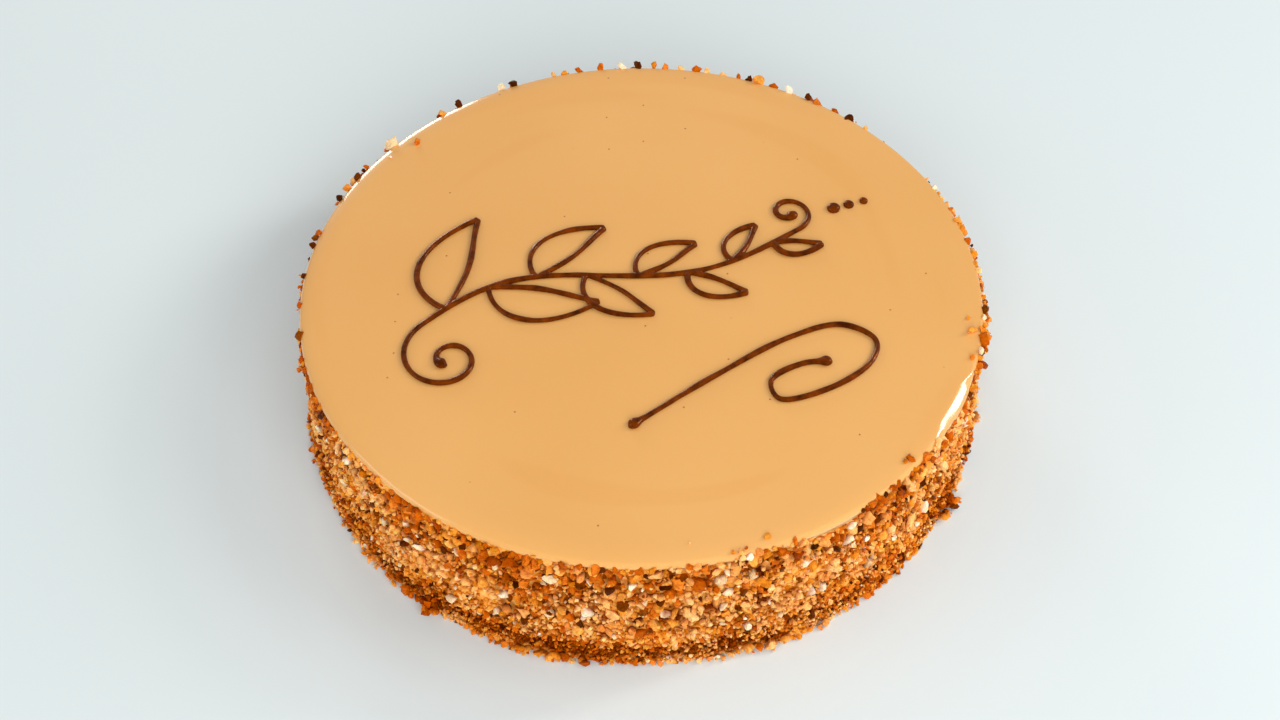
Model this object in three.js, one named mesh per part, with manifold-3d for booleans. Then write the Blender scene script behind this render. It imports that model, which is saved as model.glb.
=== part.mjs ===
// Coffee buttercream cake: a round uncut cake with a smooth coffee icing on top,
// chopped roasted nuts pressed into its side, and a piped chocolate ornament.
// Millimetres, +Z up, the origin in the middle of the flat base.

import * as THREE from 'three';
import { mergeVertices } from 'three/addons/utils/BufferGeometryUtils.js';
import Module from 'manifold-3d';

const wasm = await Module();
wasm.setup();

// Driving dimensions of the cake, set in a 20 cm cake ring
const RING_RADIUS = 100;
const ICING_TOP = 45;
const ICING_THICKNESS = 2.2;
const ICING_RADIUS = 100.2;
const ICING_EDGE_ROUND = 1.6;
const ICING_EDGE_STEPS = 3;
const ICING_UNDERCUT = 0.4;
const ICING_COLUMNS = 96;
const FOOT_SPREAD = 1.5;
const GAP = 0.3;
const SEAT = 0.05;

// Slow waves by which the side leaves its circle, with their start in radians
const SIDE_WAVES = [
  { count: 3, start: 1, depth: 0.35 },
  { count: 7, start: 2.3, depth: 0.2 },
];

// The uneven side under the nuts
const SIDE_COLUMNS = 212;
const SIDE_ROWS = 14;
const BUMP_SHARE = 0.42;
const BUMP = { low: 0.6, high: 1.7 };
const HOLLOW = { low: -0.9, high: 0.1 };
const BUMP_SHIFT = 0.3;

// The dark seam above the foot, and the directions in degrees where it nearly closes
const SEAM_HEIGHT = 4.6;
const SEAM_HALF_WIDTH = 2.2;
const SEAM_DEPTH = 1.9;
const SEAM_FADES = [{ at: 205, width: 14 }, { at: 318, width: 20 }, { at: 85, width: 24 }];
const SEAM_FAINT = 0.75;

// Chopped nuts that stand out of the coat, the largest first
const SIDE_NUTS = { count: 14, largest: 5.6, smallest: 5, lowest: 9, highest: 37 };
const FOOT_NUTS = { count: 16, largest: 5.8, smallest: 5, lowest: 1.4, highest: 2.8 };
const RIM_NUTS = { count: 14, largest: 5, smallest: 4.4, lowest: 39.8, highest: 41.2 };
const NUT_SINK = 0.06;

// A chip's three measures and its cut corners, as shares of its size
const CHIP_LENGTH = { low: 0.95, high: 1.2 };
const CHIP_WIDTH = { low: 0.75, high: 1 };
const CHIP_DEPTH = { low: 0.65, high: 0.9 };
const CHIP_CORNER = { low: 0.76, high: 1.24 };

// How often a place is tried before the emptiest is taken, and the seed of every random draw
const NUT_TRIES = 14;
const NUT_SEED = 20260;

// Nuts that stand proud of the icing's edge, by their direction seen from above in degrees
const PROUD_NUTS = [17, 26, 36, 43, 52, 58, 64, 69, 79, 86, 91, 95, 106, 116, 178, 189];
const PROUD_SIZE = 4.6;
const PROUD_HEIGHT = 43;
const BARE_EDGE = { from: 324, to: 342 };

// The piped line of chocolate
const LINE_WIDTH = 1.9;
const LINE_HEIGHT = 1.5;
const LINE_SIDES = 5;
const BLOB_RADIUS = 2;
const BLOB_SIDES = 8;
const BLOB_RINGS = 5;
const LINE_BOTTOM = ICING_TOP + GAP;

// The leafy sprig: a waved stem with a curl at each end and pointed leaves that get smaller
const SPRIG_MIDDLE = new THREE.Vector3(-8, 4, 0);
const SPRIG_TILT = THREE.MathUtils.degToRad(20);
const STEM_LENGTH = 118;
const STEM_WAVE = 9;
const STEM_CALMING = 0.4;
const STEM_STEPS = 13;
const STEM_OVERLAP = 0.01;
const HEAD_CURL = { reach: 15.5, shrink: 0.16, turns: 1.4, steps: 18 };
const TAIL_CURL = { reach: 8, shrink: 0.22, turns: 1.2, steps: 12 };
const LEAVES = { count: 8, first: 38, ratio: 0.875, fatness: 0.2, from: 0.07, to: 0.92 };
const LEAF_STEPS = { least: 3, length: 13 };
const LEAF_SPREAD = THREE.MathUtils.degToRad(68);
const LEAF_BEND = 0.55;
const LEAF_FULLNESS = 0.85;

// The swash under the sprig, as the points its long stroke passes through
const SWASH_POINTS = [
  [-3.3, -54], [20, -35.6], [43.2, -19.7], [57.8, -14.9], [67.3, -20.5], [65.6, -29],
  [53.1, -39.2], [38.9, -43.2], [36.8, -36.5], [46, -30], [54.6, -29],
];
const SWASH_STEPS = 32;

// Round drops of chocolate past the tip of the sprig
const DROPS = { count: 3, first: 2, ratio: 0.8, start: 72.5, spacing: 5, height: 5 };
const DROP_FLATTENING = 0.75;
const DROP_OUTLINE = [[0, 0], [0.8, 0], [1, 0.35], [0.75, 0.8], [0, 1]];

// What the pieces are made of
const NUT_COAT = { color: 0xc07a3a, roughness: 0.8, metalness: 0 };
const ICING = { color: 0xeeb26c, roughness: 0.3, metalness: 0 };
const CHOCOLATE = { color: 0x4a2414, roughness: 0.35, metalness: 0 };

const FULL_TURN = 2 * Math.PI;
const WELD_DISTANCE = 1e-4;

// A seeded random number between 0 and 1, the same on each run
function seededRandom(seed) {
  let state = seed;
  return () => {
    state = (state + 0x6d2b79f5) | 0;
    let mixed = Math.imul(state ^ (state >>> 15), 1 | state);
    mixed = (mixed + Math.imul(mixed ^ (mixed >>> 7), 61 | mixed)) ^ mixed;
    return ((mixed ^ (mixed >>> 14)) >>> 0) / 2 ** 32;
  };
}

function between({ low, high }, random) {
  return low + (high - low) * random();
}

// A geometry with shared corners, as joins and cuts need it
function welded(geometry) {
  const bare = geometry.clone();
  bare.deleteAttribute('normal');
  bare.deleteAttribute('uv');
  return mergeVertices(bare, WELD_DISTANCE);
}

function solidFrom(geometry) {
  const closed = welded(geometry);
  return new wasm.Manifold(new wasm.Mesh({
    numProp: 3,
    vertProperties: new Float32Array(closed.attributes.position.array),
    triVerts: new Uint32Array(closed.index.array),
  }));
}

function geometryFrom(solid) {
  const { vertProperties, triVerts } = solid.getMesh();
  const geometry = new THREE.BufferGeometry();
  geometry.setAttribute('position', new THREE.BufferAttribute(vertProperties, 3));
  geometry.setIndex(new THREE.BufferAttribute(triVerts, 1));
  geometry.computeVertexNormals();
  return geometry;
}

// The largest body of a solid, without the scraps that a cut leaves
function mainBody(solid) {
  return solid.decompose().reduce((best, body) => (body.volume() > best.volume() ? body : best));
}

function namedMesh(name, geometry, look) {
  const mesh = new THREE.Mesh(geometry, new THREE.MeshStandardMaterial(look));
  mesh.name = name;
  return mesh;
}

// Turned shapes and cylinders are made round Y, and stand up along Z here
function standUp(geometry) {
  return geometry.rotateX(Math.PI / 2);
}

// How much the nearly round side leaves its circle
function sideWobble(angle) {
  return SIDE_WAVES.reduce(
    (sum, { count, start, depth }) => sum + depth * Math.sin(count * angle + start), 0,
  );
}

// Radius of the buttercream under the nuts, wider towards the foot
function sideRadius(angle, height) {
  const down = 1 - height / ICING_TOP;
  return RING_RADIUS + FOOT_SPREAD * down * down + sideWobble(angle);
}

// How open the seam is in a direction, 1 where it is deepest
function seamShare(angle) {
  return SEAM_FADES.reduce((share, { at, width }) => {
    const turn = THREE.MathUtils.radToDeg(angle) - at;
    const away = THREE.MathUtils.euclideanModulo(turn + 180, 360) - 180;
    return share * (1 - SEAM_FAINT * Math.exp(-((away / width) ** 2)));
  }, 1);
}

// The dark seam where the nuts thin out just above the foot
function seamDepth(angle, height) {
  const off = (height - SEAM_HEIGHT) / SEAM_HALF_WIDTH;
  return SEAM_DEPTH * seamShare(angle) * Math.exp(-off * off);
}

// A point of the coat either stands up as a nut does or lies in a hollow between nuts
function relief(random) {
  const range = random() < BUMP_SHARE ? BUMP : HOLLOW;
  return between(range, random);
}

// The cake's body, its side covered in bumps as large as the fine chopped nuts
function cakeBody(random) {
  const top = ICING_TOP - ICING_THICKNESS - GAP - SEAT;
  const drum = new THREE.CylinderGeometry(
    RING_RADIUS, RING_RADIUS, top, SIDE_COLUMNS, SIDE_ROWS,
  );
  const body = welded(standUp(drum).translate(0, 0, top / 2));
  const place = body.attributes.position;
  const column = FULL_TURN / SIDE_COLUMNS;
  const row = top / SIDE_ROWS;
  for (let i = 0; i < place.count; i++) {
    const x = place.getX(i);
    const y = place.getY(i);
    if (Math.hypot(x, y) < RING_RADIUS / 2) {
      continue;
    }
    const onRim = place.getZ(i) < row / 2 || place.getZ(i) > top - row / 2;
    const shift = onRim ? 0 : BUMP_SHIFT;
    const angle = Math.atan2(y, x) + column * shift * (2 * random() - 1);
    const height = place.getZ(i) + row * shift * (2 * random() - 1);
    const radius = sideRadius(angle, height) + relief(random) - seamDepth(angle, height);
    place.setXYZ(i, radius * Math.cos(angle), radius * Math.sin(angle), height);
  }
  return solidFrom(body);
}

// One chopped nut: an uneven many-sided chip
function nutChip(size, random) {
  const chip = welded(new THREE.IcosahedronGeometry(size / 2, 0));
  const place = chip.attributes.position;
  const length = between(CHIP_LENGTH, random);
  const width = between(CHIP_WIDTH, random);
  const depth = between(CHIP_DEPTH, random);
  for (let i = 0; i < place.count; i++) {
    const cut = between(CHIP_CORNER, random);
    place.setXYZ(i, place.getX(i) * length * cut, place.getY(i) * width * cut,
      place.getZ(i) * depth * cut);
  }
  chip.rotateX(FULL_TURN * random());
  chip.rotateY(FULL_TURN * random());
  chip.rotateZ(FULL_TURN * random());
  return chip;
}

// Keeps a chip off the surface that the cake stands on
function restOnBase(chip) {
  const place = chip.attributes.position;
  for (let i = 0; i < place.count; i++) {
    place.setZ(i, Math.max(place.getZ(i), 0));
  }
  return chip;
}

function nutAt(angle, height, size, random) {
  const radius = sideRadius(angle, height) + size * NUT_SINK;
  const chip = nutChip(size, random);
  chip.translate(radius * Math.cos(angle), radius * Math.sin(angle), height);
  return solidFrom(restOnBase(chip));
}

function isBareEdge(angle) {
  const degrees = THREE.MathUtils.radToDeg(angle);
  return degrees > BARE_EDGE.from && degrees < BARE_EDGE.to;
}

// Places for the nuts of one band: each takes the emptiest of a few random places
function nutPlaces({ count, largest, smallest, lowest, highest }, random) {
  const places = [];
  for (let i = 0; i < count; i++) {
    let best = null;
    for (let j = 0; j < NUT_TRIES; j++) {
      const angle = FULL_TURN * random();
      const height = lowest + (highest - lowest) * random();
      const room = places.reduce((least, other) => {
        const turn = Math.abs(angle - other.angle);
        const along = RING_RADIUS * Math.min(turn, FULL_TURN - turn);
        return Math.min(least, Math.hypot(along, height - other.height));
      }, Infinity);
      if (!best || room > best.room) {
        best = { angle, height, room };
      }
    }
    const size = largest + (smallest - largest) * (i / count);
    places.push({ ...best, size });
  }
  return places;
}

// What the icing and its clearance keep free, open upwards
function icingRoom() {
  const bottom = ICING_TOP - ICING_THICKNESS - GAP;
  const height = 2 * ICING_THICKNESS + PROUD_SIZE;
  const room = new THREE.CylinderGeometry(
    ICING_RADIUS + GAP, ICING_RADIUS + GAP, height, SIDE_COLUMNS,
  );
  return solidFrom(standUp(room).translate(0, 0, bottom + height / 2));
}

// The cake with its coat of chopped nuts, all one solid
function nutCoatedCake() {
  const random = seededRandom(NUT_SEED);
  let cake = cakeBody(random);
  for (const band of [SIDE_NUTS, FOOT_NUTS, RIM_NUTS]) {
    for (const { angle, height, size } of nutPlaces(band, random)) {
      if (band !== RIM_NUTS || !isBareEdge(angle)) {
        cake = cake.add(nutAt(angle, height, size, random));
      }
    }
  }
  for (const degrees of PROUD_NUTS) {
    const angle = THREE.MathUtils.degToRad(degrees);
    cake = cake.add(nutAt(angle, PROUD_HEIGHT, PROUD_SIZE, random));
  }
  return mainBody(cake.subtract(icingRoom()));
}

// The disc of icing with its rounded upper edge
function coffeeIcing() {
  const bottom = ICING_TOP - ICING_THICKNESS;
  const straight = ICING_TOP - ICING_EDGE_ROUND;
  const profile = [
    new THREE.Vector2(0, bottom),
    new THREE.Vector2(ICING_RADIUS - ICING_UNDERCUT, bottom),
  ];
  for (let i = 0; i <= ICING_EDGE_STEPS; i++) {
    const turn = (Math.PI / 2) * (i / ICING_EDGE_STEPS);
    profile.push(new THREE.Vector2(
      ICING_RADIUS - ICING_EDGE_ROUND * (1 - Math.cos(turn)),
      straight + ICING_EDGE_ROUND * Math.sin(turn),
    ));
  }
  profile.push(new THREE.Vector2(0, ICING_TOP));
  return geometryFrom(solidFrom(standUp(new THREE.LatheGeometry(profile, ICING_COLUMNS))));
}

// A curve given by a function from 0..1 to a point
class DrawnCurve extends THREE.Curve {
  constructor(pointAt) {
    super();
    this.pointAt = pointAt;
  }

  getPoint(t) {
    return this.pointAt(t);
  }
}

// A piped line along a level curve: its section is low and flat-bottomed
function pipedLine(curve, steps) {
  const section = new THREE.Shape();
  for (let i = 0; i < LINE_SIDES; i++) {
    const angle = FULL_TURN * ((i + 0.5) / LINE_SIDES);
    const up = (LINE_HEIGHT / 2) * Math.cos(angle) / Math.cos(Math.PI / LINE_SIDES);
    const across = (LINE_WIDTH / 2) * Math.sin(angle);
    if (i === 0) {
      section.moveTo(up, across);
    } else {
      section.lineTo(up, across);
    }
  }
  const line = new THREE.ExtrudeGeometry(section, { steps, extrudePath: curve });
  return solidFrom(line.translate(0, 0, LINE_BOTTOM + LINE_HEIGHT / 2));
}

// The thick end where the bag of chocolate starts or stops
function endBlob(point) {
  const blob = new THREE.SphereGeometry(BLOB_RADIUS, BLOB_SIDES, BLOB_RINGS);
  const flat = standUp(blob).scale(1, 1, LINE_HEIGHT / (2 * BLOB_RADIUS));
  return solidFrom(flat.translate(point.x, point.y, LINE_BOTTOM + LINE_HEIGHT / 2));
}

// From the sprig's own lengthwise frame to the cake's
function onCake(point) {
  const turned = point.clone().applyAxisAngle(new THREE.Vector3(0, 0, 1), SPRIG_TILT);
  return turned.add(SPRIG_MIDDLE);
}

function stemPoint(t) {
  const wave = STEM_WAVE * Math.sin(FULL_TURN * t) * (1 - STEM_CALMING * t);
  return new THREE.Vector3(STEM_LENGTH * (t - 0.5), wave, 0);
}

function stemHeading(t) {
  const nearby = 1e-3;
  const step = stemPoint(t + nearby).sub(stemPoint(t - nearby));
  return Math.atan2(step.y, step.x);
}

// A spiral that leaves start in the given heading and winds in anticlockwise
function curlPoint(start, heading, { reach, shrink, turns }, t) {
  const sweep = turns * FULL_TURN;
  const fromPole = heading - Math.atan2(sweep, Math.log(shrink));
  const angle = fromPole + sweep * t;
  const radius = reach * shrink ** t;
  return new THREE.Vector3(
    start.x - reach * Math.cos(fromPole) + radius * Math.cos(angle),
    start.y - reach * Math.sin(fromPole) + radius * Math.sin(angle),
    0,
  );
}

// One edge of a pointed leaf, from its root to its tip, bent towards the tip of the sprig
function leafEdgePoint(root, heading, length, side, edge, t) {
  const along = length * t;
  const across = edge * LEAVES.fatness * length * Math.sin(Math.PI * t ** LEAF_FULLNESS);
  const bent = heading - side * LEAF_BEND * t;
  return new THREE.Vector3(
    root.x + along * Math.cos(bent) - across * Math.sin(bent),
    root.y + along * Math.sin(bent) + across * Math.cos(bent),
    0,
  );
}

// The outline of the leaf at this place on the stem, drawn by its two edges
function leafOutline(index) {
  const { count, first, ratio, from, to } = LEAVES;
  const onStem = from + (to - from) * (index / (count - 1));
  const side = index % 2 === 0 ? 1 : -1;
  const length = first * ratio ** index;
  const heading = stemHeading(onStem) + side * LEAF_SPREAD;
  const steps = Math.round(LEAF_STEPS.least + length / LEAF_STEPS.length);
  const edges = [1, -1].map((edge) => new DrawnCurve(
    (t) => onCake(leafEdgePoint(stemPoint(onStem), heading, length, side, edge, t)),
  ));
  return pipedLine(edges[0], steps).add(pipedLine(edges[1], steps));
}

// The whole sprig: stem, curls, leaves and the blobs at both ends, joined
function pipedSprig() {
  const head = (t) => onCake(curlPoint(stemPoint(0), stemHeading(0) + Math.PI, HEAD_CURL, t));
  const tail = (t) => onCake(curlPoint(stemPoint(1), stemHeading(1), TAIL_CURL, t));
  const stem = new DrawnCurve(
    (t) => onCake(stemPoint(t * (1 + 2 * STEM_OVERLAP) - STEM_OVERLAP)),
  );
  let sprig = pipedLine(stem, STEM_STEPS);
  sprig = sprig.add(pipedLine(new DrawnCurve(head), HEAD_CURL.steps));
  sprig = sprig.add(pipedLine(new DrawnCurve(tail), TAIL_CURL.steps));
  for (let i = 0; i < LEAVES.count; i++) {
    sprig = sprig.add(leafOutline(i));
  }
  sprig = sprig.add(endBlob(head(1)));
  return sprig.add(endBlob(tail(1)));
}

function pipedSwash() {
  const points = SWASH_POINTS.map(([x, y]) => new THREE.Vector3(x, y, 0));
  const route = new THREE.CatmullRomCurve3(points);
  const stroke = pipedLine(route, SWASH_STEPS);
  return stroke.add(endBlob(points[0])).add(endBlob(points.at(-1)));
}

// A low round drop of chocolate, flat underneath
function chocolateDrop(radius) {
  const height = radius * DROP_FLATTENING;
  const profile = DROP_OUTLINE.map(
    ([out, up]) => new THREE.Vector2(out * radius, up * height),
  );
  return standUp(new THREE.LatheGeometry(profile, BLOB_SIDES));
}

function coffeeCake() {
  const cake = new THREE.Group();
  cake.add(namedMesh('cake', geometryFrom(nutCoatedCake()), NUT_COAT));
  cake.add(namedMesh('coffee_icing', coffeeIcing(), ICING));
  cake.add(namedMesh('piped_sprig', geometryFrom(pipedSprig()), CHOCOLATE));
  cake.add(namedMesh('piped_swash', geometryFrom(pipedSwash()), CHOCOLATE));
  for (let i = 0; i < DROPS.count; i++) {
    const drop = geometryFrom(solidFrom(chocolateDrop(DROPS.first * DROPS.ratio ** i)));
    const mesh = namedMesh(`piped_drop_${i + 1}`, drop, CHOCOLATE);
    mesh.position.copy(onCake(new THREE.Vector3(DROPS.start + DROPS.spacing * i, DROPS.height, 0)));
    mesh.position.z = LINE_BOTTOM;
    cake.add(mesh);
  }
  return cake;
}

export default coffeeCake();
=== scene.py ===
import math

import bmesh
import bpy
import numpy as np
from mathutils import Matrix, Vector


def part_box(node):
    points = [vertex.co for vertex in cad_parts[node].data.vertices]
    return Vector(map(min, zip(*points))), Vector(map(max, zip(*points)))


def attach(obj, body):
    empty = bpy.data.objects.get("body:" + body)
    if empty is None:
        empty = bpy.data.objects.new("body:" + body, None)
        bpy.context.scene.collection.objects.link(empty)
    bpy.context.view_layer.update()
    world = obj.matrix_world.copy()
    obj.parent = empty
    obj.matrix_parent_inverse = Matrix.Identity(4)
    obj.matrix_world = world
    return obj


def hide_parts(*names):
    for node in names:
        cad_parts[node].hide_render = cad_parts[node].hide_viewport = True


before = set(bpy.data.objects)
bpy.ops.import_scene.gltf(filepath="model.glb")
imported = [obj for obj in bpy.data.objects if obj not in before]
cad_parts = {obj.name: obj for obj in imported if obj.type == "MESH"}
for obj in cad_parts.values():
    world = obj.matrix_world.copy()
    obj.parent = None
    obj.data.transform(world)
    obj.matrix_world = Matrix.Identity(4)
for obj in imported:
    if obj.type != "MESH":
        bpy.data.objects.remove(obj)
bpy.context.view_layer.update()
print("frame loaded, nodes:", ", ".join(sorted(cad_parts)))

# lengths below are millimetres, but metres for the camera's place, the floor and the lights;
# directions are degrees seen from above, 0 towards +X
mm = 0.001
fullTurn = 2 * math.pi

icingLow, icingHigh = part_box("coffee_icing")
icingRadius = (icingHigh.x - icingLow.x) / 2 / mm
icingTop = icingHigh.z / mm
icingBottom = icingLow.z / mm

cakeSide = {
    "ringRadius": 100,      # the side of the cream under the nuts
    "footSpread": 1.5,      # how much wider it is at the foot
    "seamHeight": 4.6,      # the dark groove just above the foot; part of its darkness is painted shade
    "seamHalfWidth": 2.2,
    "seamDepth": 1.9,
    # directions where it nearly closes, and how widely
    "seamFades": ((205, 14), (298, 14), (318, 20), (85, 24)),
    "seamFaint": 0.75,
    "wobbles": ((0.35, 3, 1), (0.2, 7, 2.3)),       # how far, how often round, and where it starts
    "top": icingBottom - 0.25,
}


# How much the side leaves its circle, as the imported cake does
def sideWobble(angle):
    return sum(reach * np.sin(times * angle + start) for reach, times, start in cakeSide["wobbles"])


def sideRadius(angle, height):
    down = 1 - height / icingTop
    return cakeSide["ringRadius"] + cakeSide["footSpread"] * down * down + sideWobble(angle)


def seamShare(angle):
    share = 1
    for middle, width in cakeSide["seamFades"]:
        away = (np.degrees(angle) - middle + 180) % 360 - 180
        share = share * (1 - cakeSide["seamFaint"] * np.exp(-((away / width) ** 2)))
    return share


def seamDepth(angle, height):
    off = (height - cakeSide["seamHeight"]) / cakeSide["seamHalfWidth"]
    return cakeSide["seamDepth"] * seamShare(angle) * np.exp(-off * off)


# Mesh helpers

def newPiece(name, points, faces, material, node, sharpAngle=None, values=None):
    # values: numbers for each point that the material reads, by name
    mesh = bpy.data.meshes.new(name)
    mesh.from_pydata((np.asarray(points) * mm).tolist(), [], [list(face) for face in faces])
    mesh.shade_smooth()
    if sharpAngle is not None:
        mesh.set_sharp_from_angle(angle=math.radians(sharpAngle))
    for key, numbers in (values or {}).items():
        attribute = mesh.attributes.new(key, "FLOAT", "POINT")
        attribute.data.foreach_set("value", np.asarray(numbers, np.float32))
    mesh.materials.append(material)
    piece = bpy.data.objects.new(name, mesh)
    bpy.context.scene.collection.objects.link(piece)
    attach(piece, "root")
    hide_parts(node)
    print(f"{name}: {len(mesh.polygons)} faces")
    return piece


def ringFaces(rings, columns):
    # quads between neighbouring rings of points that each go once round
    first = np.arange(rings - 1)[:, None] * columns + np.arange(columns)[None, :]
    after = np.arange(rings - 1)[:, None] * columns + (np.arange(columns)[None, :] + 1) % columns
    return np.stack([first, after, after + columns, first + columns], axis=-1).reshape(-1, 4)


def turnedShape(rings, closeStart=True, closeEnd=True):
    # closes a stack of rings into one shell, with a fan at each end
    count, columns = rings.shape[:2]
    points = rings.reshape(-1, 3)
    faces = ringFaces(count, columns).tolist()
    if closeStart:
        points = np.vstack([points, rings[0].mean(axis=0)])
        faces += [[i, len(points) - 1, (i + 1) % columns] for i in range(columns)]
    if closeEnd:
        points = np.vstack([points, rings[-1].mean(axis=0)])
        last = (count - 1) * columns
        faces += [[last + i, last + (i + 1) % columns, len(points) - 1] for i in range(columns)]
    return points, faces


def lumps(random, columns, rows, width):
    # smooth random lumps about this many cells wide, joined up round the cake
    across = np.fft.fftfreq(columns)[:, None]
    up = np.fft.fftfreq(rows)[None, :]
    soften = np.exp(-2 * (math.pi * width) ** 2 * (across**2 + up**2))
    field = np.real(np.fft.ifft2(np.fft.fft2(random.standard_normal((columns, rows))) * soften))
    return field / field.std()


# Materials

def newMaterial(name, roughness):
    material = bpy.data.materials.new(name)
    material.use_nodes = True
    shader = material.node_tree.nodes["Principled BSDF"]
    shader.inputs["Roughness"].default_value = roughness
    return material, material.node_tree, shader


def linear(colour):
    # from the usual 0 to 255 screen values to the light that a socket takes
    share = np.asarray(colour) / 255
    return tuple(np.where(share <= 0.04045, share / 12.92, ((share + 0.055) / 1.055) ** 2.4)) + (1.0,)


def noiseNode(tree, scale, detail=3, roughness=0.55):
    place = tree.nodes.new("ShaderNodeTexCoord")
    texture = tree.nodes.new("ShaderNodeTexNoise")
    texture.inputs["Scale"].default_value = scale
    texture.inputs["Detail"].default_value = detail
    texture.inputs["Roughness"].default_value = roughness
    tree.links.new(place.outputs["Object"], texture.inputs["Vector"])
    return texture.outputs["Fac"]


noiseSpread = (0.3, 0.7)        # where most of a noise's values lie

coatLook = {
    "gloss": 0.08,
    "glossTint": (255, 190, 120),
    # painted shade for whatever lies deep in the coat, from its darkest to its lightest tone
    "hollowDark": (86, 24, 0),
    "hollowLight": (196, 88, 0),
    "hollowDepth": (0.6, 2.1),      # painted shade: how deep in the coat nuts start to darken, and where they are darkest
    "grooveShare": 0.25,            # how much the groove's own depth counts in that painted shade
    "mottling": 900,                # how fine the roasted mottling on a nut is
    "roast": (0.44, 0.64, 0, 0.58),     # where the mottling starts and ends, and how much it darkens
    "roastDarkest": 0.6,            # its darkest tone, as a share of the nut's own darkest
    "grain": 2600,
    "grainBump": (0.3, 0.5),        # how high the grain is, and how strongly it counts
    "roughnessChange": 0.12,
    "softness": 0.35,               # light passes through this share of a nut
    "softReach": 0.8,
    "softColour": (1.0, 0.4, 0.12),
}

creamLook = {
    "roughness": 0.6,
    "tones": [(0.32, (176, 88, 8)), (0.45, (230, 138, 40)), (0.56, (252, 174, 80)), (0.7, (255, 200, 120))],
    "patches": 420,                 # how fine its patches, the patches of its painted shade and its crumbs are
    "shades": 150,
    "crumbs": 1400,
    "crumbBump": (0.5, 0.8),
    # painted shade in the cream's hollows: from what depth it starts and where it is full, and its tone
    "depth": (1.6, 3.0),
    "hollow": (140, 62, 10),
    "plain": (240, 186, 126),       # where no crumbs stick to it
}


def rampNode(tree, value, stops):
    ramp = tree.nodes.new("ShaderNodeValToRGB")
    while len(ramp.color_ramp.elements) < len(stops):
        ramp.color_ramp.elements.new(1)
    for element, (position, colour) in zip(ramp.color_ramp.elements, stops):
        element.position = position
        element.color = linear(colour)
    tree.links.new(value, ramp.inputs["Fac"])
    return ramp.outputs["Color"]


def mixNode(tree, share, first, second):
    mix = tree.nodes.new("ShaderNodeMix")
    mix.data_type = "RGBA"
    tree.links.new(share, mix.inputs[0])
    tree.links.new(first, mix.inputs[6])
    tree.links.new(second, mix.inputs[7])
    return mix.outputs[2]


def rangeNode(tree, value, low, high, toLow, toHigh):
    spread = tree.nodes.new("ShaderNodeMapRange")
    for name, number in zip(("From Min", "From Max", "To Min", "To Max"), (low, high, toLow, toHigh)):
        spread.inputs[name].default_value = number
    tree.links.new(value, spread.inputs["Value"])
    return spread.outputs["Result"]


def bumpNode(tree, height, distance, strength, shader, before=None):
    bump = tree.nodes.new("ShaderNodeBump")
    bump.inputs["Distance"].default_value = distance * mm
    bump.inputs["Strength"].default_value = strength
    tree.links.new(height, bump.inputs["Height"])
    if before:
        tree.links.new(before, bump.inputs["Normal"])
    tree.links.new(bump.outputs["Normal"], shader.inputs["Normal"])
    return bump.outputs["Normal"]


def plainColour(tree, colour):
    value = tree.nodes.new("ShaderNodeRGB")
    value.outputs["Color"].default_value = linear(colour)
    return value.outputs["Color"]


def attributeNode(tree, name):
    value = tree.nodes.new("ShaderNodeAttribute")
    value.attribute_name = name
    return value.outputs["Fac"]


def nutMaterial(name, tones, roughness):
    # tones: from the darkest nut of the kind to the lightest
    material, tree, shader = newMaterial(name, roughness)
    shader.inputs["Specular IOR Level"].default_value = coatLook["gloss"]
    shader.inputs["Specular Tint"].default_value = linear(coatLook["glossTint"])
    shader.inputs["Subsurface Weight"].default_value = coatLook["softness"]
    shader.inputs["Subsurface Radius"].default_value = coatLook["softColour"]
    shader.inputs["Subsurface Scale"].default_value = coatLook["softReach"] * mm
    shade = attributeNode(tree, "shade")
    body = rampNode(tree, shade, [(i / (len(tones) - 1), tone) for i, tone in enumerate(tones)])
    darker = rampNode(tree, shade, [(0, np.multiply(tones[0], coatLook["roastDarkest"])), (1, tones[0])])
    mottling = noiseNode(tree, coatLook["mottling"], detail=4, roughness=0.65)
    roast = rangeNode(tree, mottling, *coatLook["roast"])
    roasted = mixNode(tree, roast, body, darker)
    # painted shade: nuts lying deep in the coat are mixed towards dark tones, as if shaded
    hollow = rampNode(tree, shade, [(0, coatLook["hollowDark"]), (1, coatLook["hollowLight"])])
    deep = rangeNode(tree, attributeNode(tree, "depth"), *coatLook["hollowDepth"], 0, 1)
    tree.links.new(mixNode(tree, deep, roasted, hollow), shader.inputs["Base Color"])
    grain = noiseNode(tree, coatLook["grain"], detail=2)
    change = coatLook["roughnessChange"]
    uneven = rangeNode(tree, grain, *noiseSpread, roughness - change, roughness + change)
    tree.links.new(uneven, shader.inputs["Roughness"])
    bumpNode(tree, grain, *coatLook["grainBump"], shader)
    return material


def creamMaterial():
    # coffee cream with fine crumbs in it, with painted shade in the hollows
    material, tree, shader = newMaterial("coatCream", creamLook["roughness"])
    shader.inputs["Specular IOR Level"].default_value = coatLook["gloss"]
    shader.inputs["Specular Tint"].default_value = linear(coatLook["glossTint"])
    cream = rampNode(tree, noiseNode(tree, creamLook["patches"], detail=4), creamLook["tones"])
    # painted shade: cream lying deep in the coat is mixed towards dark tones
    shade = noiseNode(tree, creamLook["shades"])
    hollow = rampNode(tree, shade, [(0.4, coatLook["hollowDark"]), (0.7, creamLook["hollow"])])
    deep = rangeNode(tree, attributeNode(tree, "depth"), *creamLook["depth"], 0, 1)
    coat = mixNode(tree, deep, cream, hollow)
    plain = plainColour(tree, creamLook["plain"])
    tree.links.new(mixNode(tree, attributeNode(tree, "bare"), coat, plain), shader.inputs["Base Color"])
    crumb = noiseNode(tree, creamLook["crumbs"], detail=3)
    bumpNode(tree, crumb, *creamLook["crumbBump"], shader)
    return material


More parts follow.
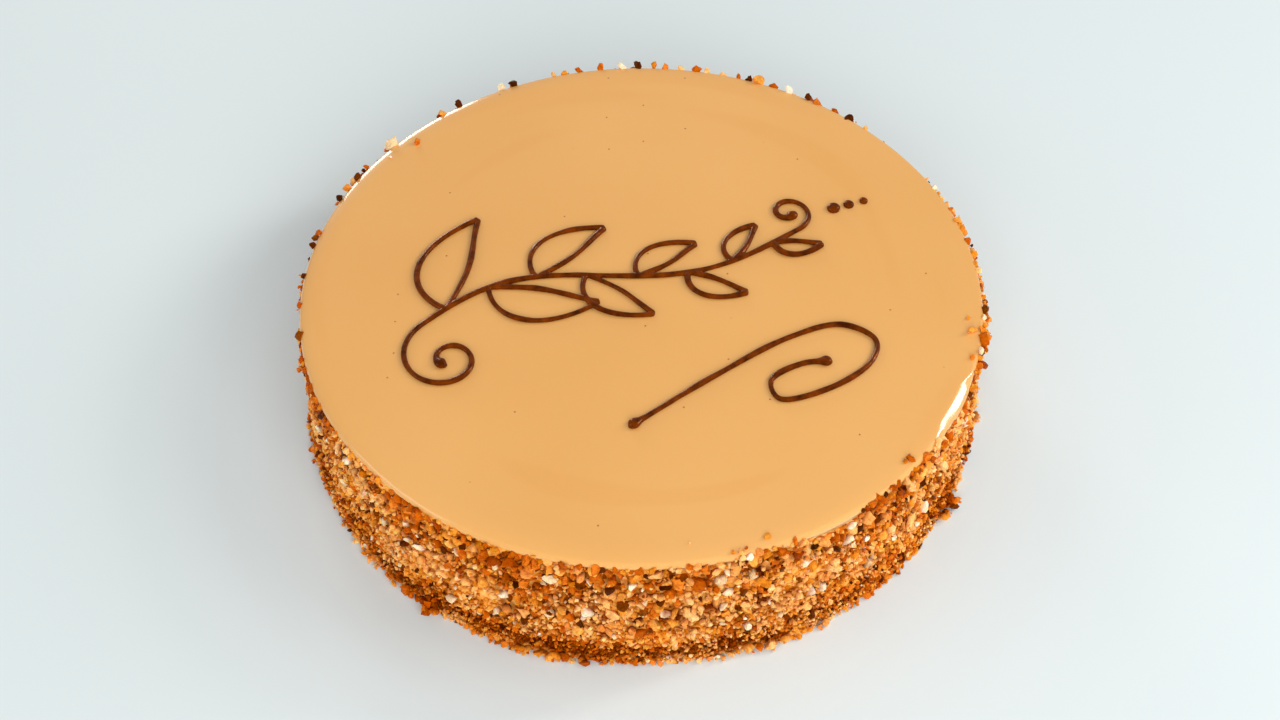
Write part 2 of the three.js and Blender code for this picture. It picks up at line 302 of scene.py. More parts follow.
icingSkin = {
    "tones": [(227, 166, 89), (230, 170, 94), (233, 174, 99)],
    "clouds": 14,                   # how fine the change between them is
    "roughness": (0.34, 0.4),
    "meanRoughness": 0.36,
    "gloss": 0.2,
    "glazeRoughness": 0.1,
    "softness": 0.1,                # light passes through this share of it
    "softReach": 2,
    "softColour": (1.0, 0.45, 0.2),
    "sweepTone": (226, 160, 80),
    "sweepShare": 0.3,
    # open: how many of them, and how softly that share ends; core: the part that is fully darkened, a painted
    # shade inside the pit
    "pinholes": {"apart": 12, "radius": 0.35, "core": 0.5, "open": (0.14, 0.05),
                 "colour": (176, 106, 36), "depth": 0.12},
}


def pinholesIn(tree):
    # 1 in the tiny open bubbles of the icing, 0 elsewhere
    holes = icingSkin["pinholes"]
    place = tree.nodes.new("ShaderNodeTexCoord")
    cells = tree.nodes.new("ShaderNodeTexVoronoi")
    cells.voronoi_dimensions = "2D"
    cells.inputs["Scale"].default_value = 1 / (holes["apart"] * mm)
    tree.links.new(place.outputs["Object"], cells.inputs["Vector"])
    edge = holes["radius"] / holes["apart"]
    hole = rangeNode(tree, cells.outputs["Distance"], edge * holes["core"], edge, 1, 0)
    parts = tree.nodes.new("ShaderNodeSeparateColor")
    tree.links.new(cells.outputs["Color"], parts.inputs["Color"])
    share, fade = holes["open"]
    isOpen = rangeNode(tree, parts.outputs["Red"], share, share + fade, 1, 0)
    both = tree.nodes.new("ShaderNodeMath")
    both.operation = "MULTIPLY"
    tree.links.new(hole, both.inputs[0])
    tree.links.new(isOpen, both.inputs[1])
    return both.outputs["Value"]


def icingMaterial():
    material, tree, shader = newMaterial("coffeeIcing", icingSkin["meanRoughness"])
    shader.inputs["Subsurface Weight"].default_value = icingSkin["softness"]
    shader.inputs["Subsurface Radius"].default_value = icingSkin["softColour"]
    shader.inputs["Subsurface Scale"].default_value = icingSkin["softReach"] * mm
    shader.inputs["Specular IOR Level"].default_value = icingSkin["gloss"]
    shader.inputs["Coat Weight"].default_value = 1
    shader.inputs["Coat Roughness"].default_value = icingSkin["glazeRoughness"]
    cloud = noiseNode(tree, icingSkin["clouds"], detail=1)
    tones = icingSkin["tones"]
    even = rampNode(tree, cloud, [(0.25, tones[0]), (0.5, tones[1]), (0.75, tones[2])])
    sweep = rangeNode(tree, attributeNode(tree, "sweep"), 0, 1, 0, icingSkin["sweepShare"])
    swept = mixNode(tree, sweep, even, plainColour(tree, icingSkin["sweepTone"]))
    pinholes = pinholesIn(tree)
    # the pits are a real dent, and their darker colour is painted shade inside them
    pitted = mixNode(tree, pinholes, swept, plainColour(tree, icingSkin["pinholes"]["colour"]))
    tree.links.new(pitted, shader.inputs["Base Color"])
    uneven = rangeNode(tree, cloud, 0.2, 0.8, *icingSkin["roughness"])
    tree.links.new(uneven, shader.inputs["Roughness"])
    bumpNode(tree, pinholes, -icingSkin["pinholes"]["depth"], 1, shader)
    return material


chocolateLook = {
    "tones": [(0.3, (52, 13, 0)), (0.7, (118, 48, 0))],
    "patches": 300,                 # how fine its patches and its grain are
    "grain": 1500,
    "grainBump": (0.1, 0.3),
    "roughness": (0.2, 0.3),
    "meanRoughness": 0.25,
    "gloss": 0.5,
    "glossTint": (255, 160, 80),
}


def chocolateMaterial():
    material, tree, shader = newMaterial("darkChocolate", chocolateLook["meanRoughness"])
    shader.inputs["Specular IOR Level"].default_value = chocolateLook["gloss"]
    shader.inputs["Specular Tint"].default_value = linear(chocolateLook["glossTint"])
    colour = rampNode(tree, noiseNode(tree, chocolateLook["patches"]), chocolateLook["tones"])
    tree.links.new(colour, shader.inputs["Base Color"])
    grain = noiseNode(tree, chocolateLook["grain"])
    uneven = rangeNode(tree, grain, *noiseSpread, *chocolateLook["roughness"])
    tree.links.new(uneven, shader.inputs["Roughness"])
    bumpNode(tree, grain, *chocolateLook["grainBump"], shader)
    return material


# How far the icing sags towards its edge

iceSag = {"from": 92.5, "depth": 0.85, "power": 3, "more": 0.65, "moreTowards": 200}


def edgeSag(angle, distance):
    share = np.clip((distance - iceSag["from"]) / (icingRadius - iceSag["from"]), 0, 1)
    lean = 1 + iceSag["more"] * np.cos(angle - math.radians(iceSag["moreTowards"]))
    return iceSag["depth"] * lean * share ** iceSag["power"]


# The cream under the nuts, and how far the coat stands out of the side at each place

coatGrid = {
    "columns": 1440,
    "rows": 98,
    "coarse": 2,            # the core's own mesh takes every second column and row
    "sunk": 0.7,            # how deep the bare cream lies in the coat
    "lumpWidths": (7, 2.4, 1.1),
    "lumpHeights": (0.4, 0.3, 0.16),
    "envelope": 1.6,
    "seed": 11,
}

coatRandom = np.random.default_rng(coatGrid["seed"])
coatAngles = fullTurn * np.arange(coatGrid["columns"]) / coatGrid["columns"]
coatHeights = cakeSide["top"] * np.arange(coatGrid["rows"] + 1) / coatGrid["rows"]
cellAcross = fullTurn * cakeSide["ringRadius"] / coatGrid["columns"]
cellUp = cakeSide["top"] / coatGrid["rows"]

coatSpots = {
    "groove": (2.6, 6.6),            # heights between which little sticks where the groove is open
    "grooveShares": (0.05, 0.45),    # of the nuts and of the crumbs
    # where cream shows under the icing's edge, and where the edge is free of nuts: from, to, above
    "bareStrip": (297, 306, 41.0),
    "bareEdge": (329, 341, 41.6),
    "bareSoft": (3, 0.5),            # how softly these start, in degrees and in height
    "flush": -0.12,                  # how far the cream there stands out of the icing's side
    # stretches with fine nuts only: from, to, below which height
    "fine": ((198, 244, 17), (262, 284, 11), (296, 332, 12), (40, 80, 16), (130, 160, 13)),
    "fineSize": 2.1,
    "underRim": (5, 0.45),           # within this of the top, the painted shade in the hollows is lighter, down to this share
    "edgeLight": 0.5,                # from this far under the icing's top they get no painted shade at all
    "atFoot": (0.3, 0.35),           # and near the floor, less and less painted shade down to the second share
}


def bareShare(angle, height):
    # 1 where the cream lies bare under the icing's edge, 0 elsewhere
    share = 0
    softAcross, softUp = coatSpots["bareSoft"]
    degrees = np.degrees(angle) % 360
    for fromAngle, toAngle, above in (coatSpots["bareStrip"], coatSpots["bareEdge"]):
        inside = np.clip(np.minimum(degrees - fromAngle, toAngle - degrees) / softAcross, 0, 1)
        share = np.maximum(share, inside * np.clip((height - above) / softUp + 1, 0, 1))
    return share


def bareCoat():
    standOut = np.full((coatGrid["columns"], coatGrid["rows"] + 1), -float(coatGrid["sunk"]))
    for width, height in zip(coatGrid["lumpWidths"], coatGrid["lumpHeights"]):
        standOut += height * lumps(coatRandom, *standOut.shape, width / cellAcross)
    standOut -= seamDepth(coatAngles[:, None], coatHeights[None, :])
    bare = bareShare(coatAngles[:, None], coatHeights[None, :])
    level = icingRadius + coatSpots["flush"] - sideRadius(coatAngles[:, None], coatHeights[None, :])
    return standOut + bare * (level - standOut)


def coatEnvelope():
    # the skin that touches the highest nuts
    reach = int(coatGrid["envelope"] / cellUp)
    high = standOut.copy()
    for i in range(-reach, reach + 1):
        high = np.maximum(high, np.roll(standOut, i, axis=0))
    higher = high.copy()
    for j in range(1, reach + 1):
        higher[:, j:] = np.maximum(higher[:, j:], high[:, :-j])
        higher[:, :-j] = np.maximum(higher[:, :-j], high[:, j:])
    return higher


def depthOf(points, envelope):
    # how deep each point lies under that skin, which the materials turn into painted shade
    angle = np.arctan2(points[..., 1], points[..., 0]) % fullTurn
    height = np.clip(points[..., 2], 0, cakeSide["top"])
    column = np.round(angle / fullTurn * coatGrid["columns"]).astype(int) % coatGrid["columns"]
    row = np.round(height / cellUp).astype(int)
    out = np.hypot(points[..., 0], points[..., 1]) - sideRadius(angle, height)
    # no painted shade above the icing's edge, and little down at the foot
    reach, least = coatSpots["underRim"]
    isUnder = np.clip((icingTop - points[..., 2]) / reach, least, 1)
    isUnder *= np.clip((icingTop - coatSpots["edgeLight"] - points[..., 2]) / icingLook["edgeRound"], 0, 1)
    onFloor, leastLow = coatSpots["atFoot"]
    isUnder *= np.clip(points[..., 2] / cakeSide["seamHeight"] + onFloor, leastLow, 1)
    # the groove adds painted shade of its own
    groove = coatLook["grooveShare"] * seamDepth(angle, height)
    return (envelope[column, row] + groove - out) * isUnder


def coreCake(bareHeights, envelope, material):
    step = coatGrid["coarse"]
    angles = coatAngles[::step]
    heights = coatHeights[::step]
    radii = sideRadius(angles[None, :], heights[:, None]) + bareHeights[::step, ::step].T
    rings = np.stack([radii * np.cos(angles), radii * np.sin(angles),
                      np.broadcast_to(heights[:, None], radii.shape)], axis=-1)
    points, faces = turnedShape(rings)
    bare = bareShare(np.arctan2(points[:, 1], points[:, 0]), points[:, 2])
    # painted shade where the cream lies deep in the coat, none where it lies bare
    depth = depthOf(points, envelope) * (1 - bare)
    return newPiece("cakeCore", points, faces, material, "cake",
                    values={"depth": depth, "bare": bare})


standOut = bareCoat()


# Chopped nuts: where each lies, largest first, on whatever is already there

coatNuts = {
    "bands": [              # from, to in height; largest, smallest nut; how many are tried
        {"low": 30, "high": 42.4, "largest": 3.9, "smallest": 1.5, "evenness": 2.4, "tries": 9500},
        {"low": 14, "high": 30, "largest": 3.5, "smallest": 1.3, "evenness": 2.8, "tries": 14000},
        {"low": 6.6, "high": 14, "largest": 2.5, "smallest": 1.1, "evenness": 2.2, "tries": 10500},
        {"low": 2.4, "high": 6.6, "largest": 2.3, "smallest": 1.1, "evenness": 2.2, "tries": 5000},
        {"low": 0.6, "high": 2.4, "largest": 2.8, "smallest": 1.3, "evenness": 1.8, "tries": 3500},
    ],
    "closeness": 0.7,       # nearest two nuts may be, as a share of their mean size
    "lookAround": 4,        # neighbours are looked up in squares this wide
    "roundness": 0.8,       # how much a nut bulges out of the coat, against a ball
    "sink": 0.42,           # how deep a nut is pressed in, as a share of its size
    "sideSink": 0.33,
    "sideSize": 0.9,        # of the whole nut to what the eye sees of it
    "crumbs": 13000,
    "crumbSize": (0.8, 1.8),
    "crumbsFrom": 0.4,
    "crumbsBelow": 0.3,     # crumbs stay where the coat stands out less than this, and some elsewhere
    "onNuts": 0.3,
    "grooveCrumbs": 5200,
    "grooveCrumbSize": (0.8, 1.6),
    "grooveCrumbsFrom": 1,
    "grooveSink": 0.22,
    "creamPatches": {"width": 3.2, "least": 1.1, "band": (9, 34), "nutShare": 0.15, "crumbShare": 0.5},
    "seed": 23,
}

# the row of nuts that covers the icing's edge in front; behind they end lower
rimNuts = {
    "apart": 1.4,
    "spacing": (0.4, 1.6),  # of that, from nut to nut
    "size": (1.3, 3.4),
    # how high they reach in each stretch: from, to, lowest and highest top
    "tops": ((30, 190, 41.5, 43.4), (190, 218, 42.2, 43.5), (218, 268, 42.3, 43.8), (268, 284, 42.8, 44.3),
             (284, 360, 43.7, 45.2), (0, 30, 43.6, 45.2)),
    "behind": (30, 190),
    "sink": 0.42,
    "beyondIcing": 0.06,    # how far out of the icing's edge their middle lies, as a share of their size
    "crumbRise": 0.3,       # how high the middle of a crumb on the icing lies, as a share of its size
}

# single nuts that stand proud of the icing's edge: kind, direction, size, height of the middle
edgeNuts = [
    ("pale", 26, 2.2, 44.2), ("golden", 23, 2.0, 44.2), ("roasted", 20, 2.0, 44.6), ("golden", 17, 3.4, 44.3),
    ("roasted", 12, 2.6, 44.2), ("golden", 9, 3.0, 44.0), ("creamy", 5, 2.4, 44.0),
    ("dark", 356, 3.6, 44.0), ("pale", 354, 2.2, 44.6), ("golden", 351, 2.8, 44.2),
    ("roasted", 349, 3.6, 44.3), ("pale", 346, 2.2, 45.0), ("golden", 345, 2.6, 44.0),
    ("dark", 338, 2.2, 41.4), ("roasted", 336, 2.4, 41),
    ("creamy", 45, 2.2, 44.3), ("dark", 49, 3.4, 44.2), ("roasted", 52, 2.4, 44.2),
    ("roasted", 56, 3.0, 44.4), ("dark", 58, 2.8, 44.8), ("pale", 62, 3.2, 44.9),
    ("roasted", 65, 3.2, 44.4), ("golden", 68, 3.8, 44.8),
    ("dark", 70, 3.2, 44.5), ("roasted", 72, 2.0, 44.4), ("creamy", 75, 2.2, 44.4), ("creamy", 78, 2.4, 44.4),
    ("roasted", 80, 3.6, 44.8), ("creamy", 83, 2.0, 44.6), ("roasted", 86, 3.8, 44.6),
    ("golden", 88, 2.6, 44.6), ("dark", 91, 3.2, 44.8), ("pale", 94, 4.2, 44.6), ("roasted", 98, 2.6, 44.6),
    ("roasted", 102, 2.2, 44.4), ("golden", 105, 3.2, 44.3), ("creamy", 107, 2.4, 44.3),
    ("dark", 115, 3.0, 44.5), ("pale", 117, 2.8, 44.2), ("dark", 126, 2.8, 44.4), ("golden", 130, 2.2, 44.2),
    ("pale", 142, 4.4, 43.6), ("roasted", 149, 2.6, 43.8), ("dark", 152, 2.4, 44.0),
    ("golden", 155, 2.6, 44.0), ("dark", 158, 2.4, 44.2), ("roasted", 167, 2.4, 44.0),
    ("dark", 170, 2.4, 44.0), ("dark", 177, 2.6, 43.4), ("roasted", 184, 2.4, 43.4), ("dark", 191, 2.6, 43.2),
]

# crumbs that fell on the icing: kind, direction, distance from the middle, size
icingCrumbs = [
    ("roasted", 139, 93.8, 2.4), ("pale", 145, 96.4, 1.3), ("golden", 353, 95.7, 1.4),
    ("roasted", 344, 98.3, 1.8), ("golden", 350, 97.2, 2.6), ("roasted", 319, 98.0, 2.6),
    ("golden", 318, 97.2, 1.6), ("golden", 290.4, 97, 1.7), ("creamy", 278, 94, 1.1),
    ("roasted", 284.4, 99.2, 1.8), ("creamy", 285.6, 99.8, 2.4), ("roasted", 286.6, 98.7, 1.3),
]

# the nuts that catch the eye in the side itself: kind, direction, size, height of the middle
sideNuts = [
    ("roasted", 188, 4.2, 33), ("roasted", 190, 4.0, 20), ("golden", 192, 3.0, 12),
    ("roasted", 209, 3.0, 38), ("creamy", 213, 5.0, 37), ("dark", 215.6, 3.8, 39.5),
    ("pale", 217, 3.8, 37.5), ("pale", 220.6, 3.4, 30), ("creamy", 221.8, 3.6, 35),
    ("dark", 222, 3.2, 27), ("dark", 222.8, 3.4, 23.5), ("pale", 224.8, 4.0, 24),
    ("creamy", 219, 3.0, 25), ("dark", 217.2, 2.8, 16), ("pale", 230.3, 3.0, 32),
    ("dark", 229.8, 3.4, 22), ("pale", 230.9, 3.6, 25.5), ("roasted", 231.8, 3.2, 39.5),
    ("creamy", 232.6, 3.4, 32), ("pale", 233.2, 3.4, 25), ("creamy", 235, 3.4, 25),
    ("roasted", 235.4, 3.0, 34), ("dark", 236.7, 2.8, 28.6), ("dark", 238, 2.6, 31),
    ("creamy", 239.3, 4.2, 30), ("pale", 239.5, 4.0, 11.5), ("golden", 241, 3.6, 39),
    ("dark", 242, 3.4, 37.5), ("roasted", 246, 3.6, 39), ("pale", 246.7, 3.4, 11.5),
    ("golden", 246.6, 4.4, 28), ("pale", 247.3, 2.6, 34), ("pale", 248.6, 4.0, 22.5),
    ("creamy", 249.2, 4.6, 16.5), ("dark", 249.6, 3.0, 21.5), ("roasted", 250, 3.4, 40.5),
    ("dark", 250.5, 2.8, 31), ("creamy", 251.6, 4.6, 17), ("dark", 251.8, 2.8, 12.5),
    ("creamy", 252.8, 4.0, 35.5), ("golden", 254.5, 4.2, 3.8), ("pale", 256.5, 4.2, 35),
    ("roasted", 259.4, 4.4, 20.5), ("roasted", 259.8, 3.2, 37.5), ("creamy", 260.8, 3.4, 40.8),
    ("dark", 261, 3.4, 17.5), ("pale", 261.8, 4.0, 22.6), ("golden", 263, 3.8, 41),
    ("dark", 265.3, 3.6, 35), ("dark", 266.8, 3.4, 35.4), ("dark", 267.3, 3.6, 28),
    ("pale", 268.9, 3.5, 36.4), ("creamy", 269, 4.2, 16), ("dark", 270.8, 3.4, 24),
    ("dark", 271, 2.6, 40), ("pale", 271, 3.6, 29.5), ("dark", 271.7, 2.6, 14.5),
    ("creamy", 272.5, 5.0, 39.8), ("dark", 273.2, 2.8, 29), ("dark", 274, 3.0, 35),
    ("pale", 274, 4.2, 23.5), ("creamy", 275.2, 4.2, 22), ("dark", 276.4, 3.2, 38.4),
    ("creamy", 277.3, 3.2, 41), ("dark", 279.5, 2.4, 27.5), ("pale", 282.3, 3.6, 35.5),
    ("pale", 283, 3.2, 23.5), ("pale", 284, 3.4, 29.5), ("dark", 285.7, 3.0, 20),
    ("dark", 286.2, 3.4, 28), ("dark", 286.7, 2.4, 14), ("pale", 287, 4.0, 11), ("dark", 287.4, 2.8, 8.6),
    ("dark", 287.2, 2.6, 38.5), ("roasted", 289.7, 3.2, 25), ("pale", 290.8, 2.6, 18.5),
    ("dark", 291.3, 2.6, 37), ("dark", 292.7, 3.0, 32), ("pale", 293, 2.6, 11), ("dark", 294.1, 2.3, 9),
    ("roasted", 295, 4.2, 36.5), ("dark", 295.6, 2.6, 24.7), ("creamy", 297.6, 4.0, 11),
    ("dark", 298, 3.2, 37.5), ("dark", 298.2, 3.4, 7.6), ("pale", 300.5, 4.2, 16.5),
    ("roasted", 302, 4.0, 37), ("dark", 302, 3.2, 32), ("pale", 304.4, 5.0, 32.6),
    ("pale", 304.9, 3.4, 38), ("roasted", 306.6, 3.4, 41), ("dark", 307, 3.6, 34),
    ("creamy", 308, 3.8, 38), ("pale", 308.8, 3.6, 26.5), ("creamy", 309.4, 2.8, 36),
    ("pale", 309.4, 4.2, 15.6), ("roasted", 310.6, 3.2, 40), ("roasted", 309.8, 3.0, 26),
    ("golden", 312.6, 2.8, 41), ("pale", 315.2, 3.2, 18), ("roasted", 314.8, 3.2, 40.6),
    ("creamy", 316.2, 3.6, 41.6), ("dark", 317, 2.6, 32.5), ("golden", 318.2, 2.8, 42),
    ("creamy", 320.8, 2.8, 29.5), ("golden", 321, 2.8, 43), ("dark", 322.4, 4.6, 31),
    ("golden", 323.2, 2.8, 43.2), ("pale", 324.2, 4.4, 16), ("roasted", 325.8, 3.2, 42.8),
    ("creamy", 327.6, 3.2, 41.4), ("dark", 328.4, 3.6, 22), ("dark", 329, 2.6, 28),
]

nutKinds = {
    # shares: among large nuts, small nuts and crumbs; patch: how much the kind keeps to the lighter
    # patches; tones: from the darkest nut to the lightest
    "golden": {"shares": (0.36, 0.37, 0.33), "patch": 0, "roughness": 0.45,
               "tones": [(208, 114, 10), (247, 153, 44), (255, 193, 98)]},
    "roasted": {"shares": (0.3, 0.27, 0.3), "patch": -0.9, "roughness": 0.45,
                "tones": [(162, 64, 0), (212, 102, 8), (245, 141, 44)]},
    "creamy": {"shares": (0.24, 0.28, 0.31), "patch": 0.9, "roughness": 0.5,
               "tones": [(247, 150, 68), (255, 186, 104), (255, 212, 144)]},
    "dark": {"shares": (0.02, 0.05, 0.07), "patch": -0.9, "roughness": 0.4,
             "tones": [(60, 22, 0), (96, 38, 0), (142, 70, 4)]},
    "pale": {"shares": (0.03, 0.03, 0.01), "patch": 0.4, "roughness": 0.5,
             "tones": [(252, 212, 156), (255, 230, 190), (255, 241, 216)]},
}
patchLook = {
    "width": 4,
    "shades": (0.5, 0.27),  # the middle and the spread of the shades within a kind
    "behind": (-15, 190),   # in these directions no nut of the side has its own place,
    "behindMore": 2.5,      # so there are this many times more dark and pale ones
    "rimFrom": 0.75,        # where the darker rim starts, as a share of the height
    "rimDarker": 1.1,
    "middle": 0.45,         # the lighter stretch half way up, and how wide it is
    "middleWidth": 0.2,
    "middleLighter": 1.0,
    # darker nuts in the groove: partly darker roasted nuts, partly painted shade
    "grooveDarkNutsAndShade": 0.9,
    "paintedLightTowards": 335,  # painted light: the side facing the window light gets lighter, creamier nuts; in degrees, and by how much on that side
    "paintedLightOnSide": 0.5,
}

# nuts round the foot, which stick out furthest in these runs and lie in heaps at three places
footNuts = {
    "apart": 2.3,
    "spacing": (0.5, 1.5),
    "sink": 0.45,
    "rise": 0.42,           # how high their middle lies, as a share of their size
    "size": (1.4, 2.5),
    "out": (-0.2, 0.4),
    "runs": ((224, 238), (250, 263), (282, 294), (298, 302), (330, 335), (352, 368), (28, 46), (76, 93),
             (118, 137), (160, 171)),
    "runSize": (2.0, 3.5),
    "runOut": (0.4, 1.3),
    "heaps": (197, 235, 332),
    "heapNuts": 12,
    "heapWidth": 1.2,
    "heapSize": (1.6, 3.4),
    "heapTop": 6,
    "heapSink": 0.35,
    "farthest": 4.4,
}

nutRandom = np.random.default_rng(coatNuts["seed"])
nuts = {"angle": [], "height": [], "out": [], "size": [], "kind": []}
nutCells = {}
keptClear = np.zeros_like(standOut, bool)       # the cells under the side's own nuts, where no crumb lands
creamField = lumps(nutRandom, coatGrid["columns"], coatGrid["rows"] + 1,
                   coatNuts["creamPatches"]["width"] / cellAcross)


def coatCell(angle, height):
    column = int(round(angle / fullTurn * coatGrid["columns"])) % coatGrid["columns"]
    row = min(max(int(round(height / cellUp)), 0), coatGrid["rows"])
    return column, row


def hasRoom(angle, height, size):
    cell = coatNuts["lookAround"]
    across = angle * cakeSide["ringRadius"]
    column = int(across // cell)
    row = int(height // cell)
    for i in (column - 1, column, column + 1):
        for j in (row - 1, row, row + 1):
            for otherAcross, otherHeight, otherSize in nutCells.get((i, j), ()):
                apart = math.hypot(across - otherAcross, height - otherHeight)
                if apart < coatNuts["closeness"] * (size + otherSize) / 2:
                    return False
    nutCells.setdefault((column, row), []).append((across, height, size))
    return True


def isBare(angle, height):
    degrees = math.degrees(angle) % 360
    return any(fromAngle < degrees < toAngle and height > above
               for fromAngle, toAngle, above in (coatSpots["bareStrip"], coatSpots["bareEdge"]))


def isFine(angle, height):
    degrees = math.degrees(angle) % 360
    return any(fromAngle < degrees < toAngle and height < below
               for fromAngle, toAngle, below in coatSpots["fine"])


def isWanted(angle, height, size):
    if isBare(angle, height + size / 2) or (size > coatSpots["fineSize"] and isFine(angle, height)):
        return False
    isCrumb = int(size < chipShapes["sizes"][1])
    grooveLow, grooveHigh = coatSpots["groove"]
    if grooveLow < height < grooveHigh:
        return nutRandom.random() < 1 - seamShare(angle) * (1 - coatSpots["grooveShares"][isCrumb])
    patches = coatNuts["creamPatches"]
    low, high = patches["band"]
    if low < height < high and creamField[coatCell(angle, height)] > patches["least"]:
        return nutRandom.random() < patches["crumbShare" if isCrumb else "nutShare"]
    return True


def onCoat(angle, height, size, sink):
    # how far out a nut's middle lies on what is there
    return standOut[coatCell(angle, height)] + size * (0.5 - sink)


def cellsUnder(angle, height, reach):
    # the cells round a place, and how far from it each lies
    column, row = coatCell(angle, height)
    wide = int(reach / cellAcross)
    tall = int(reach / cellUp)
    columns = np.arange(column - wide, column + wide + 1)
    rows = np.arange(max(row - tall, 0), min(row + tall, coatGrid["rows"]) + 1)
    away = np.hypot((columns[:, None] - column) * cellAcross, (rows[None, :] - row) * cellUp)
    return np.ix_(columns % coatGrid["columns"], rows), away


def pressIn(angle, height, size, out, kind=None):
    # adds a nut, and raises the coat by it
    reach = size / 2
    patch, away = cellsUnder(angle, height, reach)
    cap = out + np.sqrt(np.maximum(reach**2 - away**2, 0)) * coatNuts["roundness"]
    standOut[patch] = np.where(away < reach, np.maximum(standOut[patch], cap), standOut[patch])
    kindNumber = -1 if kind is None else list(nutKinds).index(kind)
    for key, value in zip(nuts, (angle, height, out, size, kindNumber)):
        nuts[key].append(value)


def fillRim():
    for kind, degrees, size, height in edgeNuts:
        angle = math.radians(degrees)
        hasRoom(angle, height, size)
        out = icingRadius - sideRadius(angle, height) + size * rimNuts["beyondIcing"]
        pressIn(angle, height, size, out, kind)
    angle = 0
    while angle < fullTurn:
        size = nutRandom.uniform(*rimNuts["size"])
        degrees = math.degrees(angle)
        isBehind = rimNuts["behind"][0] <= degrees < rimNuts["behind"][1]
        lowest, highest = next(tops for fromAngle, toAngle, *tops in rimNuts["tops"]
                               if fromAngle <= degrees < toAngle)
        height = nutRandom.uniform(lowest, highest) - size / 2
        if not isBare(angle, height) and hasRoom(angle, height, size):
            out = onCoat(angle, height, size, rimNuts["sink"])
            if not isBehind:
                out = max(out, icingRadius - sideRadius(angle, height) + size * rimNuts["beyondIcing"])
            pressIn(angle, height, size, out)
        angle += nutRandom.uniform(*rimNuts["spacing"]) * rimNuts["apart"] / cakeSide["ringRadius"]
    for kind, degrees, distance, size in icingCrumbs:
        angle = math.radians(degrees)
        height = icingTop - edgeSag(angle, distance) + size * rimNuts["crumbRise"]
        pressIn(angle, height, size, distance - sideRadius(angle, height), kind)


def fillSide():
    for kind, degrees, size, height in sideNuts:
        angle = math.radians(degrees)
        size *= coatNuts["sideSize"]
        hasRoom(angle, height, size)
        pressIn(angle, height, size, onCoat(angle, height, size, coatNuts["sideSink"]), kind)
        patch, away = cellsUnder(angle, height, size / 2)
        keptClear[patch] |= away < size / 2


def fillFoot():
    # nuts round the foot, against the coat or a little way out of it
    angle = 0
    while angle < fullTurn:
        degrees = math.degrees(angle)
        inRun = any((degrees - fromAngle) % 360 < toAngle - fromAngle
                    for fromAngle, toAngle in footNuts["runs"])
        size = nutRandom.uniform(*footNuts["runSize" if inRun else "size"])
        height = size * footNuts["rise"]
        out = onCoat(angle, height, size, footNuts["sink"])
        pressIn(angle, height, size, max(out, nutRandom.uniform(*footNuts["runOut" if inRun else "out"])))
        angle += nutRandom.uniform(*footNuts["spacing"]) * footNuts["apart"] / cakeSide["ringRadius"]


def fillHeaps():
    for heap in footNuts["heaps"]:
        for degrees in nutRandom.normal(heap, footNuts["heapWidth"], footNuts["heapNuts"]):
            angle = math.radians(degrees)
            size = nutRandom.uniform(*footNuts["heapSize"])
            height = nutRandom.uniform(size * footNuts["rise"], footNuts["heapTop"])
            out = min(onCoat(angle, height, size, footNuts["heapSink"]), footNuts["farthest"] - size / 2)
            pressIn(angle, height, size, out)


def fillCoat():
    for band in coatNuts["bands"]:
        spread = nutRandom.random(band["tries"]) ** band["evenness"]
        sizes = band["smallest"] + (band["largest"] - band["smallest"]) * np.sort(spread)[::-1]
        for size in sizes:
            angle = fullTurn * nutRandom.random()
            height = nutRandom.uniform(band["low"], band["high"])
            if isWanted(angle, height, size) and hasRoom(angle, height, size):
                pressIn(angle, height, size, onCoat(angle, height, size, coatNuts["sink"]))
    fillFoot()
    fillHeaps()
    print("nuts pressed into the side:", len(nuts["size"]))


def fillCrumbs():
    # crumbs lie more between the nuts than on them
    for _ in range(coatNuts["crumbs"]):
        angle = fullTurn * nutRandom.random()
        height = nutRandom.uniform(coatNuts["crumbsFrom"], cakeSide["top"])
        size = nutRandom.uniform(*coatNuts["crumbSize"])
        cell = coatCell(angle, height)
        stays = standOut[cell] < coatNuts["crumbsBelow"] or nutRandom.random() < coatNuts["onNuts"]
        if stays and not keptClear[cell] and isWanted(angle, height, size):
            pressIn(angle, height, size, onCoat(angle, height, size, coatNuts["sink"]))
    for _ in range(coatNuts["grooveCrumbs"]):
        angle = fullTurn * nutRandom.random()
        height = nutRandom.uniform(coatNuts["grooveCrumbsFrom"], coatSpots["groove"][1])
        size = nutRandom.uniform(*coatNuts["grooveCrumbSize"])
        if standOut[coatCell(angle, height)] < coatNuts["crumbsBelow"]:
            pressIn(angle, height, size, onCoat(angle, height, size, coatNuts["grooveSink"]))
    print("nuts and crumbs in all:", len(nuts["size"]))


# Nuts as meshes

chipShapes = {
    "corners": (42, 24, 10),        # of a large, a middling and a small chip
    "sizes": (2.7, 1.6),            # the smallest large and the smallest middling one
    "cuts": 8,
    "cutDepth": (0.34, 0.8),
    "stretch": (0.8, 1.4),
    "roughness": 0.12,
    "sharpAngle": 40,
}


def chipBlank(corners):
    # corners spread evenly on a ball, and the triangles between them
    goldenAngle = math.pi * (3 - math.sqrt(5))
    ball = bmesh.new()
    for i in range(corners):
        z = 1 - 2 * (i + 0.5) / corners
        r = math.sqrt(1 - z * z)
        ball.verts.new((r * math.cos(goldenAngle * i), r * math.sin(goldenAngle * i), z))
    bmesh.ops.convex_hull(ball, input=ball.verts)
    bmesh.ops.recalc_face_normals(ball, faces=ball.faces)
    ball.verts.index_update()
    points = np.array([v.co for v in ball.verts])
    faces = np.array([[v.index for v in face.verts] for face in ball.faces])
    ball.free()
    return points, faces


